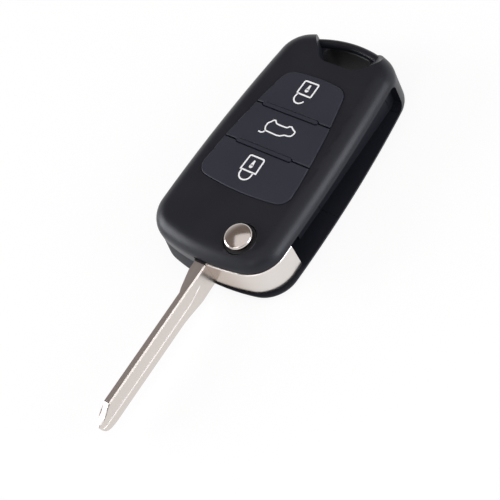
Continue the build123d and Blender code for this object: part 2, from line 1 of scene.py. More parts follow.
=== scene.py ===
"""Looks, light and camera for a flip key remote shell.

The case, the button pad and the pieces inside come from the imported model. This
script makes the blade, the release button and its return spring once more in
finer form, prints the pictograms on the keys and gives every piece its finish.
"""

import logging
import math
from dataclasses import dataclass
from enum import Enum, IntEnum
from typing import ClassVar

import bmesh
import bpy
from bmesh.types import BMEdge, BMFace, BMesh, BMVert
from mathutils import Matrix, Vector


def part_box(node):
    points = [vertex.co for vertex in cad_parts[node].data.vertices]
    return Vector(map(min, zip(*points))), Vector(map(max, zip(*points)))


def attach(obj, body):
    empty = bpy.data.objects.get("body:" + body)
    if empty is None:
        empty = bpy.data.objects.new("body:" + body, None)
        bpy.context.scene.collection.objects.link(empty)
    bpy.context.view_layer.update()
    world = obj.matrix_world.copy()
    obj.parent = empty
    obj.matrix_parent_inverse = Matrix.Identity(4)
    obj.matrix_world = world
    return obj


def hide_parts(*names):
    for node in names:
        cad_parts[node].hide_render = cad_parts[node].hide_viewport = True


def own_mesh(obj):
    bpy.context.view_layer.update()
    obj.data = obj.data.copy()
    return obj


logging.basicConfig(level=logging.INFO, format="%(message)s")
log = logging.getLogger("flip_key")

Point = tuple[float, float]
Point3 = tuple[float, float, float]
Color = tuple[float, float, float]

MM = 0.001
UPWARDS: Point3 = (0.0, 0.0, 1.0)
WHITE: Color = (1.0, 1.0, 1.0)

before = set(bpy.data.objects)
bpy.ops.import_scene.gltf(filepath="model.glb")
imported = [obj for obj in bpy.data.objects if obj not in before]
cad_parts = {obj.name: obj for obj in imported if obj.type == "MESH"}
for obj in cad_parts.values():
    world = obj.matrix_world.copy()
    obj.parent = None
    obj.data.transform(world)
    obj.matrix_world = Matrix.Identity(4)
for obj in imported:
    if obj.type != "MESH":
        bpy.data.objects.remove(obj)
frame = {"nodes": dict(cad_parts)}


class Slot(Enum):
    """Material slots of the record."""

    PAD = "pad_rubber"
    NICKEL = "nickel_silver"
    CHROME = "button_chrome"
    STEEL = "screw_steel"


class Kind(Enum):
    """Kinds of socket on a shared node group."""

    VECTOR = "NodeSocketVector"
    VALUE = "NodeSocketFloat"


class Brushing(Enum):
    """Scale of the brushed lines along X, Y and Z, small the way that they run."""

    ALONG_BLADE = (1.0, 0.03, 1.0)
    UP_THE_BAND = (1.0, 1.0, 0.05)
    EVEN = (1.0, 1.0, 1.0)


class BladeFace(IntEnum):
    """Material slots of the blade, in their order."""

    FLAT = 0
    # Spine and the thin line along the tip's edge: darker nickel, painted shade.
    SPINE = 1
    # Facets of the ground tip: near-white nickel, a painted highlight.
    GROUND = 2
    # Wall of the milled step towards the nose: lighter nickel, a painted highlight along the step
    # line.
    STEP = 3


def rgba(color: Color) -> tuple[float, float, float, float]:
    """Returns the colour as an opaque value for a colour socket."""
    return (*color, 1.0)


@dataclass(frozen=True)
class Graph:
    """Shader nodes of one material, world or group while they are joined."""

    tree: bpy.types.NodeTree

    def add(
        self, kind: str, values: dict[str | int, object] | None = None, **options: object,
    ) -> bpy.types.Node:
        """Adds a shader node.

        Args:
            kind: type of the node, without its prefix.
            values: values of its input sockets, by name or number.
            options: settings of the node itself, which are set first.

        Returns:
            The node.
        """
        node = self.tree.nodes.new(f"ShaderNode{kind}")
        for option, value in options.items():
            setattr(node, option, value)
        for title, value in (values or {}).items():
            node.inputs[title].default_value = value
        return node

    def join(self, *pairs: tuple[bpy.types.NodeSocket, bpy.types.NodeSocket]) -> None:
        """Links sockets.

        Args:
            pairs: an output and the input that it feeds, for each link.
        """
        for source, target in pairs:
            self.tree.links.new(source, target)


class SharedGroup:
    """Shader node group that several finishes place, each with its own values."""

    name: ClassVar[str]
    takes: ClassVar[dict[str, Kind]]
    gives: ClassVar[tuple[str, ...]]

    @classmethod
    def tree(cls) -> bpy.types.NodeTree:
        """Finds the node group, or builds it on the first call.

        Returns:
            The shader node tree, with its named inputs and outputs.
        """
        found = bpy.data.node_groups.get(cls.name)
        if found:
            return found
        group = bpy.data.node_groups.new(cls.name, "ShaderNodeTree")
        for title, kind in cls.takes.items():
            group.interface.new_socket(title, in_out="INPUT", socket_type=kind.value)
        for title in cls.gives:
            group.interface.new_socket(title, in_out="OUTPUT", socket_type=Kind.VALUE.value)
        entry = group.nodes.new("NodeGroupInput")
        leave = group.nodes.new("NodeGroupOutput")
        cls.wire(Graph(group), entry, leave)
        return group

    @classmethod
    def wire(cls, graph: Graph, entry: bpy.types.Node, leave: bpy.types.Node) -> None:
        """Adds the nodes between the group's inputs and its outputs.

        Args:
            graph: nodes of the group.
            entry: node that brings the inputs.
            leave: node that takes the outputs.
        """
        raise NotImplementedError


class GrainGroup(SharedGroup):
    """Fine moulding grain, with slow blotches over it."""

    name = "moulding_grain"
    takes = {"Vector": Kind.VECTOR, "Fineness": Kind.VALUE}
    gives = ("Height", "Mask")
    blotch_scale: ClassVar[float] = 70.0

    @classmethod
    def wire(cls, graph: Graph, entry: bpy.types.Node, leave: bpy.types.Node) -> None:
        """Draws the height from a fine noise and the mask from a slow one.

        Args:
            graph: nodes of the group.
            entry: node that brings the inputs.
            leave: node that takes the outputs.
        """
        fine = graph.add("TexNoise", {"Detail": 3.0, "Roughness": 0.6})
        slow = graph.add("TexNoise", {"Scale": cls.blotch_scale, "Detail": 2.0})
        graph.join(
            (entry.outputs["Vector"], fine.inputs["Vector"]),
            (entry.outputs["Fineness"], fine.inputs["Scale"]),
            (entry.outputs["Vector"], slow.inputs["Vector"]),
            (fine.outputs["Fac"], leave.inputs["Height"]),
            (slow.outputs["Fac"], leave.inputs["Mask"]),
        )


class BrushGroup(SharedGroup):
    """Fine lines left by brushing, with broader streaks over them."""

    name = "brushed_lines"
    takes = {"Vector": Kind.VECTOR, "Stretch": Kind.VECTOR}
    gives = ("Height", "Mask")
    line_scale: ClassVar[float] = 4000.0
    streak_scale: ClassVar[float] = 500.0

    @classmethod
    def wire(cls, graph: Graph, entry: bpy.types.Node, leave: bpy.types.Node) -> None:
        """Draws both noises on coordinates that are stretched along the brushing.

        Args:
            graph: nodes of the group.
            entry: node that brings the inputs.
            leave: node that takes the outputs.
        """
        drawn = graph.add("VectorMath", operation="MULTIPLY")
        fine = graph.add("TexNoise", {"Scale": cls.line_scale, "Detail": 2.0})
        broad = graph.add("TexNoise", {"Scale": cls.streak_scale, "Detail": 2.0})
        graph.join(
            (entry.outputs["Vector"], drawn.inputs[0]),
            (entry.outputs["Stretch"], drawn.inputs[1]),
            (drawn.outputs["Vector"], fine.inputs["Vector"]),
            (drawn.outputs["Vector"], broad.inputs["Vector"]),
            (fine.outputs["Fac"], leave.inputs["Height"]),
            (broad.outputs["Fac"], leave.inputs["Mask"]),
        )


class BoxMaskGroup(SharedGroup):
    """Mask that is 1 inside a box and fades out at its walls."""

    name = "box_mask"
    takes = {"Vector": Kind.VECTOR, "Low": Kind.VECTOR, "High": Kind.VECTOR, "Fade": Kind.VALUE}
    gives = ("Mask",)

    @classmethod
    def wire(cls, graph: Graph, entry: bpy.types.Node, leave: bpy.types.Node) -> None:
        """Finds how far the point lies inside the nearest wall and fades by it.

        Args:
            graph: nodes of the group.
            entry: node that brings the inputs.
            leave: node that takes the outputs.
        """
        above = graph.add("VectorMath", operation="SUBTRACT")
        below = graph.add("VectorMath", operation="SUBTRACT")
        nearest = graph.add("VectorMath", operation="MINIMUM")
        parts = graph.add("SeparateXYZ")
        flat = graph.add("Math", operation="MINIMUM")
        inside = graph.add("Math", operation="MINIMUM")
        ramp = graph.add("MapRange", interpolation_type="SMOOTHSTEP")
        graph.join(
            (entry.outputs["Vector"], above.inputs[0]),
            (entry.outputs["Low"], above.inputs[1]),
            (entry.outputs["High"], below.inputs[0]),
            (entry.outputs["Vector"], below.inputs[1]),
            (above.outputs["Vector"], nearest.inputs[0]),
            (below.outputs["Vector"], nearest.inputs[1]),
            (nearest.outputs["Vector"], parts.inputs["Vector"]),
            (parts.outputs["X"], flat.inputs[0]),
            (parts.outputs["Y"], flat.inputs[1]),
            (flat.outputs["Value"], inside.inputs[0]),
            (parts.outputs["Z"], inside.inputs[1]),
            (inside.outputs["Value"], ramp.inputs["Value"]),
            (entry.outputs["Fade"], ramp.inputs["From Max"]),
            (ramp.outputs["Result"], leave.inputs["Mask"]),
        )


@dataclass(frozen=True)
class Patch:
    """Box of a finish, in millimetres, with a colour and roughness of its own."""

    low: Point3
    high: Point3
    color: Color
    roughness: float
    fade: float

    def lay(
        self, graph: Graph, place: bpy.types.NodeSocket,
        color: bpy.types.NodeSocket, rough: bpy.types.NodeSocket,
    ) -> tuple[bpy.types.NodeSocket, bpy.types.NodeSocket]:
        """Lays the patch over the finish below it.

        Args:
            graph: nodes of the material.
            place: Object coordinates.
            color: colour below the patch.
            rough: roughness below the patch.

        Returns:
            Colour and roughness with the patch.
        """
        mask = graph.add("Group", node_tree=BoxMaskGroup.tree())
        mask.inputs["Low"].default_value = [side * MM for side in self.low]
        mask.inputs["High"].default_value = [side * MM for side in self.high]
        mask.inputs["Fade"].default_value = self.fade * MM
        tone = graph.add("Mix", {"B": rgba(self.color)}, data_type="RGBA")
        grade = graph.add("Mix", {"B": self.roughness})
        graph.join(
            (place, mask.inputs["Vector"]),
            (mask.outputs["Mask"], tone.inputs["Factor"]),
            (color, tone.inputs["A"]),
            (mask.outputs["Mask"], grade.inputs["Factor"]),
            (rough, grade.inputs["A"]),
        )
        return tone.outputs["Result"], grade.outputs["Result"]


@dataclass(frozen=True)
class Finish:
    """Finish whose colour and roughness wander a little over a piece."""

    noise_low: ClassVar[float] = 0.3
    noise_high: ClassVar[float] = 0.7
    relief: ClassVar[float]

    name: str
    color: Color
    tint: Color
    roughness: tuple[float, float]
    bump: float = 0.1
    patches: tuple[Patch, ...] = ()

    def texture(self, graph: Graph, shader: bpy.types.Node) -> bpy.types.Node:
        """Adds the shared texture of the finish and sets what only this kind needs.

        Args:
            graph: nodes of the material.
            shader: Principled shader of the material.

        Returns:
            The group node, with an input Vector and outputs Height and Mask.
        """
        raise NotImplementedError

    def build(self) -> bpy.types.Material:
        """Makes the material from Object coordinates.

        Returns:
            The material.
        """
        material = bpy.data.materials.new(self.name)
        material.use_nodes = True
        graph = Graph(material.node_tree)
        shader = graph.tree.nodes["Principled BSDF"]
        place = graph.add("TexCoord").outputs["Object"]
        texture = self.texture(graph, shader)
        mix = graph.add("Mix", {"A": rgba(self.color), "B": rgba(self.tint)}, data_type="RGBA")
        smoothest, roughest = self.roughness
        span = graph.add("MapRange", {
            "From Min": self.noise_low, "From Max": self.noise_high,
            "To Min": smoothest, "To Max": roughest,
        })
        graph.join(
            (place, texture.inputs["Vector"]),
            (texture.outputs["Mask"], mix.inputs["Factor"]),
            (texture.outputs["Mask"], span.inputs["Value"]),
        )
        tone, grade = mix.outputs["Result"], span.outputs["Result"]
        for patch in self.patches:
            tone, grade = patch.lay(graph, place, tone, grade)
        bump = graph.add("Bump", {"Strength": self.bump, "Distance": self.relief})
        graph.join(
            (tone, shader.inputs["Base Color"]),
            (grade, shader.inputs["Roughness"]),
            (texture.outputs["Height"], bump.inputs["Height"]),
            (bump.outputs["Normal"], shader.inputs["Normal"]),
        )
        return material


@dataclass(frozen=True)
class MouldedFinish(Finish):
    """Plastic, rubber or print with a fine grain."""

    relief: ClassVar[float] = 0.03 * MM

    fineness: float = 6000.0
    specular: float = 0.5

    def texture(self, graph: Graph, shader: bpy.types.Node) -> bpy.types.Node:
        """Adds the moulding grain and sets how strongly the surface mirrors.

        Args:
            graph: nodes of the material.
            shader: Principled shader of the material.

        Returns:
            The group node.
        """
        shader.inputs["Specular IOR Level"].default_value = self.specular
        grain = graph.add("Group", node_tree=GrainGroup.tree())
        grain.inputs["Fineness"].default_value = self.fineness
        return grain


@dataclass(frozen=True)
class MetalFinish(Finish):
    """Plated or ground metal with fine brushing."""

    relief: ClassVar[float] = 0.01 * MM

    brushing: Brushing = Brushing.ALONG_BLADE

    def texture(self, graph: Graph, shader: bpy.types.Node) -> bpy.types.Node:
        """Adds the brushed lines and makes the surface metal.

        Args:
            graph: nodes of the material.
            shader: Principled shader of the material.

        Returns:
            The group node.
        """
        shader.inputs["Metallic"].default_value = 1.0
        lines = graph.add("Group", node_tree=BrushGroup.tree())
        lines.inputs["Stretch"].default_value = self.brushing.value
        return lines


CASE_BLACK: Color = (0.0080, 0.0092, 0.0138)
CASE_TINT: Color = (0.0100, 0.0112, 0.0168)

# Painted shade inside the key ring opening: its walls dark where the hole lies in shadow, and
# matt.
RING_HOLE_SHADE = Patch(
    low=(-11.0, 26.5, 0.3), high=(9.0, 35.7, 9.3),
    color=(0.004, 0.004, 0.006), roughness=0.75, fade=0.6,
)
# Painted shade on the carrier above the blade's root: a dark gap where the shell's mouth lies in
# shadow.
BLADE_MOUTH_SHADE = Patch(
    low=(-4.0, -40.0, 9.9), high=(2.2, -36.0, 12.0),
    color=(0.02, 0.019, 0.02), roughness=0.6, fade=0.1,
)
# Painted reflection and shade: the carrier darker and warmer towards the blade, for the blade's
# root and its shadow mirrored in it.
BLADE_REFLECTION_BAND = Patch(
    low=(-40.0, -90.0, -20.0), high=(19.0, 20.0, 30.0),
    color=(0.50, 0.415, 0.36), roughness=0.26, fade=14.0,
)
# Painted highlight: a light line along the carrier's upper edge.
CARRIER_RIM_HIGHLIGHT = Patch(
    low=(2.3, -50.0, 10.72), high=(40.0, 0.0, 12.0),
    color=(0.92, 0.88, 0.86), roughness=0.15, fade=0.06,
)

# The case and the covers carry the painted shade of the ring opening.
SATIN_CASE = MouldedFinish(
    "satin_case", color=CASE_BLACK, tint=CASE_TINT, roughness=(0.34, 0.42),
    bump=0.22, specular=0.28, patches=(RING_HOLE_SHADE,),
)
COVER_PLASTIC = MouldedFinish(
    "cover_black", color=CASE_BLACK, tint=CASE_TINT, roughness=(0.54, 0.62),
    bump=0.22, specular=0.2, patches=(RING_HOLE_SHADE,),
)
INNER_PLASTIC = MouldedFinish(
    "inner_plastic", color=(0.010, 0.0105, 0.013), tint=(0.013, 0.0135, 0.016),
    roughness=(0.45, 0.55), bump=0.2, specular=0.3,
)
PAD_RUBBER = MouldedFinish(
    "pad_rubber_grey", color=(0.0165, 0.018, 0.029), tint=(0.020, 0.0217, 0.034),
    roughness=(0.5, 0.6), bump=0.3, specular=0.3, fineness=9000.0,
)
PRINT_WHITE = MouldedFinish(
    "print_white", color=(0.82, 0.83, 0.84), tint=(0.88, 0.89, 0.9), roughness=(0.45, 0.5),
)
NICKEL = MetalFinish(
    "nickel_brushed", color=(0.635, 0.585, 0.55), tint=(0.69, 0.645, 0.61),
    roughness=(0.2, 0.3), bump=0.25,
)
# Painted shade: darker nickel for the blade's spine and the thin line along its tip.
SPINE_SHADE_NICKEL = MetalFinish(
    "nickel_spine_shade", color=(0.41, 0.37, 0.35), tint=(0.49, 0.44, 0.42),
    roughness=(0.28, 0.36), bump=0.3,
)
# Painted highlight: lighter nickel on the wall of the milled step, whose shape is real, for its
# bright line.
STEP_HIGHLIGHT_NICKEL = MetalFinish(
    "nickel_step_highlight", color=(0.72, 0.69, 0.66), tint=(0.77, 0.74, 0.72),
    roughness=(0.45, 0.55), bump=0.05,
)
# Painted highlight: near-white nickel on the facets of the ground tip.
TIP_HIGHLIGHT_NICKEL = MetalFinish(
    "nickel_tip_highlight", color=(0.93, 0.91, 0.90), tint=(0.97, 0.96, 0.95),
    roughness=(0.5, 0.6), bump=0.05,
)
# Nickel of the carrier, with the painted reflection, shade and highlight above laid over it.
BAND_NICKEL = MetalFinish(
    "nickel_band", color=(0.71, 0.67, 0.64), tint=(0.75, 0.71, 0.68),
    roughness=(0.18, 0.26), brushing=Brushing.UP_THE_BAND,
    patches=(BLADE_REFLECTION_BAND, BLADE_MOUTH_SHADE, CARRIER_RIM_HIGHLIGHT),
)
CHROME = MetalFinish(
    "button_plating", color=(0.62, 0.57, 0.54), tint=(0.66, 0.61, 0.58),
    roughness=(0.14, 0.18), bump=0.03, brushing=Brushing.EVEN,
)
ZINC = MetalFinish(
    "zinc_steel", color=(0.5, 0.5, 0.5), tint=(0.6, 0.6, 0.6),
    roughness=(0.28, 0.36), brushing=Brushing.EVEN,
)


@dataclass
class CadFinishes:
    """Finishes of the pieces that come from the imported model."""

    wanted: ClassVar[dict[Finish, tuple[str, ...]]] = {
        SATIN_CASE: ("front_shell",),
        COVER_PLASTIC: ("pivot_cover", "battery_cover"),
        PAD_RUBBER: ("keypad_web", "unlock_key", "tailgate_key", "lock_key"),
        INNER_PLASTIC: ("board_tray", "release_stem"),
        NICKEL: ("key_blade",),
        BAND_NICKEL: ("blade_carrier",),
        CHROME: ("release_cap",),
        ZINC: ("tray_screws", "cover_screw", "blade_pin", "flip_spring", "spring_washer"),
    }

    nodes: dict[str, bpy.types.Object]

    def dress(self) -> dict[Finish, bpy.types.Material]:
        """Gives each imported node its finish.

        Returns:
            The materials by their finish.
        """
        made = {}
        for finish, names in self.wanted.items():
            made[finish] = finish.build()
            for name in names:
                for slot in self.nodes[name].material_slots:
                    slot.material = made[finish]
                log.info("finish %s on %s", finish.name, name)
        return made


def put(name: str, data: bpy.types.ID) -> bpy.types.Object:
    """Puts an object into the scene.

    Args:
        name: name of the object.
        data: its mesh, lamp or camera.

    Returns:
        The object.
    """
    thing = bpy.data.objects.new(name, data)
    bpy.context.scene.collection.objects.link(thing)
    return thing


def make_piece(
    bm: BMesh, name: str, body: str, finishes: list[bpy.types.Material],
    stands_for: str | None = None,
) -> bpy.types.Object:
    """Makes a piece of a finished mesh.

    Args:
        bm: the mesh, which is freed.
        name: name of the piece.
        body: body that it moves with.
        finishes: materials of the piece, in their order.
        stands_for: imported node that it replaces, if any.

    Returns:
        The piece.
    """
    bmesh.ops.recalc_face_normals(bm, faces=bm.faces)
    mesh = bpy.data.meshes.new(name)
    bm.to_mesh(mesh)
    bm.free()
    for finish in finishes:
        mesh.materials.append(finish)
    piece = put(name, mesh)
    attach(piece, body)
    if stands_for:
        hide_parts(stands_for)
    log.info("piece %s on %s, %d faces", name, body, len(mesh.polygons))
    return piece


@dataclass(frozen=True)
class Station:
    """Cross-section of the blade at one place along it, in millimetres.

    The near side is the one with the milled step, the far side the one with the groove.
    Heights are above the case's rear face.
    """

    full_top: ClassVar[float] = 10.5
    full_bottom: ClassVar[float] = 3.62
    edge_band: ClassVar[float] = 0.3
    bevel_drop: ClassVar[float] = 0.95
    step_slope: ClassVar[float] = 0.08
    near_chamfer: ClassVar[Point] = (0.15, 0.12)
    far_chamfer: ClassVar[float] = 0.25
    groove_share: ClassVar[Point] = (0.462, 0.593)
    groove_slope: ClassVar[float] = 0.05

    y: float
    left: float = 0.1
    near_top: float = full_top
    far_top: float = full_top
    bottom: float = full_bottom
    step: float = 6.15
    ledge: float = 0.2
    groove: float = 0.65
    bevel: float = 0.36

    def outline(self, right: float) -> list[Vector]:
        """Works out the corners of the section.

        Args:
            right: place of the near side along X, in millimetres.

        Returns:
            The corners, from the far side's top edge round to its groove.
        """
        lip = right + self.ledge
        slant = (self.near_top - self.far_top) / (right - self.bevel - self.left)
        base = max(self.bottom, self.full_bottom)
        low, high = (base + share * (self.far_top - base) for share in self.groove_share)
        deep = self.left + self.groove
        around = [
            (self.left, self.far_top),
            (self.left + self.edge_band, self.far_top + slant * self.edge_band),
            (right - self.bevel, self.near_top),
            (right, self.near_top - self.bevel_drop * self.bevel),
            (right, self.step + self.step_slope),
            (lip, self.step - self.step_slope),
            (lip, self.bottom + self.near_chamfer[1]),
            (lip - self.near_chamfer[0], self.bottom),
            (self.left + self.far_chamfer, self.bottom),
            (self.left, self.bottom + self.far_chamfer),
            (self.left, low),
            (deep, low + self.groove_slope),
            (deep, high - self.groove_slope),
            (self.left, high),
        ]
        return [Vector((x * MM, self.y * MM, z * MM)) for x, z in around]


@dataclass
class Blade:
    """Uncut key blade: milled step and groove, flared root and ground tip.

    Places along the blade are in millimetres, with the nose at the lowest.
    """

    axis: Vector
    right: float = 1.95
    rest_turn: float = 0.88
    spine_end: float = -79.5
    # Stretch of the nose whose spine keeps the painted shade.
    dark_nose: Point = (-83.6, -80.5)
    step_start: float = -42.5

    def stations(self) -> list[Station]:
        """Lists the sections of the blade.

        Returns:
            The sections from the tang to the nose.
        """
        plain = {"ledge": 0.0, "groove": 0.0}
        flared = {"left": -1.62, "bottom": 2.32, **plain}
        root = [
            Station(-35.5, step=7.4, **plain),
            Station(-37.05, step=7.4, **plain),
            Station(-37.06, step=7.5, **flared),
            Station(-39.7, step=7.6, **flared),
            Station(-41.5, left=-1.22, bottom=2.32, step=7.45, ledge=0.05, groove=0.0),
            Station(-43.3, left=-0.8, bottom=2.35, step=7.0, ledge=0.14, groove=0.0),
            Station(-45.0, left=-0.42, bottom=2.65, step=6.5, groove=0.0),
            Station(-46.4, bottom=2.92, step=6.25),
            Station(-48.5, bottom=3.28),
        ]
        ground = [
            Station(-79.5, near_top=10.42, far_top=10.42, bevel=0.3),
            Station(-80.2, near_top=10.1, far_top=10.1, bevel=0.24),
            Station(-80.9, near_top=9.7, far_top=9.75, bevel=0.2),
            Station(-81.7, near_top=9.05, far_top=9.4, bottom=3.66, bevel=0.18),
            Station(-82.6, near_top=8.6, far_top=8.95, bottom=3.8, bevel=0.18, groove=0.3),
        ]
        curled = {"bevel": 0.18, "groove": 0.0}
        nose = [
            Station(-83.5, near_top=8.35, far_top=8.2, bottom=4.0, **curled),
            Station(
                -84.3, near_top=8.45, far_top=7.6, bottom=4.35, step=6.2, ledge=0.15, **curled,
            ),
            Station(
                -84.9, left=0.3, near_top=8.6, far_top=7.3, bottom=5.0,
                step=6.5, ledge=0.08, **curled,
            ),
            Station(
                -85.2, left=0.5, near_top=8.5, far_top=7.4, bottom=5.7, step=6.9,
                bevel=0.18, **plain,
            ),
            Station(
                -85.42, left=0.8, near_top=8.1, far_top=7.6, bottom=6.6, step=7.2,
                bevel=0.2, **plain,
            ),
        ]
        return [*root, Station(-51.4), Station(-78.9), *ground, *nose]

    def face_kind(self, face: BMFace, ring: list[BMVert], y: float) -> BladeFace:
        """Chooses the finish of a face between two sections.

        Args:
            face: the face.
            ring: corners of the section on its tip side, in the outline's order.
            y: place of that section along the blade, in millimetres.

        Returns:
            The material slot of the face.
        """
        far_top, top, near_top, bevel_end, step_top, step_low = ring[:6]
        corners = set(face.verts)
        before_tip = y >= self.spine_end
        if {far_top, top} <= corners:
            dark = before_tip or self.dark_nose[0] < y < self.dark_nose[1]
            return BladeFace.SPINE if dark else BladeFace.GROUND
        if {top, near_top} <= corners:
            return BladeFace.SPINE if before_tip else BladeFace.GROUND
        if {near_top, bevel_end} <= corners:
            return BladeFace.FLAT if before_tip else BladeFace.SPINE
        if {step_top, step_low} <= corners:
            return BladeFace.STEP if y < self.step_start else BladeFace.FLAT
        return BladeFace.FLAT

    def build(self, finishes: dict[BladeFace, bpy.types.Material]) -> None:
        """Draws the blade out from section to section and turns it to its rest.

        Args:
            finishes: material of each kind of face.
        """
        bm = bmesh.new()
        first, *others = self.stations()
        ring = [bm.verts.new(corner) for corner in first.outline(self.right)]
        edges = [bm.edges.new(pair) for pair in zip(ring, ring[1:] + ring[:1])]
        bm.faces.new(ring)
        for station in others:
            known = set(bm.faces)
            order = {tuple(vert.co): number for number, vert in enumerate(ring)}
            drawn = bmesh.ops.extrude_edge_only(bm, edges=edges)["geom"]
            edges = [part for part in drawn if isinstance(part, BMEdge)]
            fresh = [part for part in drawn if isinstance(part, BMVert)]
            ring = sorted(fresh, key=lambda vert: order[tuple(vert.co)])
            for vert, corner in zip(ring, station.outline(self.right)):
                vert.co = corner
            for face in set(bm.faces) - known:
                face.material_index = self.face_kind(face, ring, station.y)
        bm.faces.new(ring)
        turn = Matrix.Rotation(math.radians(self.rest_turn), 3, "Z")
        bmesh.ops.rotate(bm, cent=self.axis, matrix=turn, verts=bm.verts)
        materials = [finishes[kind] for kind in BladeFace]
        make_piece(bm, "blade_body", "blade", materials, "key_blade")


@dataclass
class ReleaseCap:
    """Domed metal button with a rolled rim and a short spigot.

    The axis and the crown are in metres, the other sizes in millimetres.
    """

    axis: Vector
    crown: float
    radius: float = 3.84
    dome_radius: float = 3.23
    dome_height: float = 0.45
    rim: float = 0.82
    rim_start: float = 15.0
    height: float = 2.5
    spigot_radius: float = 2.0
    spigot_length: float = 1.36
    smooth_depth: float = 1.2
    steps: int = 10
    turn_steps: int = 96

    def profile(self) -> list[Point]:
        """Works out half of the button's section.

        Returns:
            Radius and depth below the crown, from the middle of the dome to the spigot's end.
        """
        shares = [step / self.steps for step in range(self.steps + 1)]
        dome = [(self.dome_radius * share, self.dome_height * share ** 2) for share in shares]
        center = self.dome_height + self.rim * math.cos(math.radians(self.rim_start))
        sweep = 90.0 - self.rim_start
        angles = [math.radians(self.rim_start + sweep * share) for share in shares[1:]]
        inner = self.radius - self.rim
        rim = [
            (inner + self.rim * math.sin(angle), center - self.rim * math.cos(angle))
            for angle in angles
        ]
        end = self.height + self.spigot_length
        foot = [
            (self.radius, self.height), (self.spigot_radius, self.height),
            (self.spigot_radius, end), (0.0, end),
        ]
        return dome + rim + foot

    def build(self, plating: bpy.types.Material) -> None:
        """Spins the profile about the button's axis.

        Args:
            plating: finish of the button.
        """
        bm = bmesh.new()
        line = [
            bm.verts.new((self.axis.x + radius * MM, self.axis.y, self.crown - depth * MM))
            for radius, depth in self.profile()
        ]
        edges = [bm.edges.new(pair) for pair in zip(line, line[1:])]
        bmesh.ops.spin(
            bm, geom=line + edges, cent=self.axis, axis=UPWARDS,
            angle=2 * math.pi, steps=self.turn_steps, use_merge=True,
        )
        bmesh.ops.remove_doubles(bm, verts=bm.verts, dist=0.001 * MM)
        lowest_smooth = self.crown - self.smooth_depth * MM
        for face in bm.faces:
            face.smooth = face.calc_center_median().z > lowest_smooth
        make_piece(bm, "button_cap", "release", [plating], "release_cap")


@dataclass
class ReturnSpring:
    """Coil under the button, which stays with the case."""

    low: Vector
    high: Vector
    wire: float = 0.35 * MM
    wire_sides: int = 10
    turns: int = 6
    turn_steps: int = 24
    travel: float = 2.0 * MM

    def build(self, steel: bpy.types.Material) -> None:
        """Spins a round wire up round the button's axis.

        Args:
            steel: finish of the spring.
        """
        middle = (self.low + self.high) / 2
        radius = (self.high.x - self.low.x) / 2 - self.wire
        rise = self.high.z - self.low.z - 2 * self.wire
        start = Matrix.Translation((middle.x + radius, middle.y, self.low.z + self.wire))
        upright = Matrix.Rotation(math.pi / 2, 4, "X")
        bm = bmesh.new()
        bmesh.ops.create_circle(
            bm, cap_ends=True, segments=self.wire_sides, radius=self.wire, matrix=start @ upright,
        )
        steps = self.turns * self.turn_steps
        bmesh.ops.spin(
            bm, geom=list(bm.faces), cent=middle, axis=UPWARDS, dvec=(0.0, 0.0, rise / steps),
            angle=2 * math.pi * self.turns, steps=steps,
        )
        for face in bm.faces:
            face.smooth = len(face.verts) == 4
        piece = make_piece(bm, "return_coil", "case", [steel], "flip_spring")
        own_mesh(piece)


def grown(corners: list[Point], step: float) -> list[Point]:
    """Moves the sides of a closed outline outwards.

    Args:
        corners: corners in millimetres, in anticlockwise order.
        step: distance that each side moves, in millimetres.

    Returns:
        The new corners, mitred.
    """
    moved = []
    earlier, later = corners[-1:] + corners[:-1], corners[1:] + corners[:1]
    for before, here, after in zip(earlier, corners, later):
        into = (Vector(here) - Vector(before)).normalized()
        away = (Vector(after) - Vector(here)).normalized()
        mitre = Vector((into.y + away.y, -into.x - away.x))
        mitre *= step / (1.0 + into.dot(away))
        moved.append((here[0] + mitre.x, here[1] + mitre.y))
    return moved


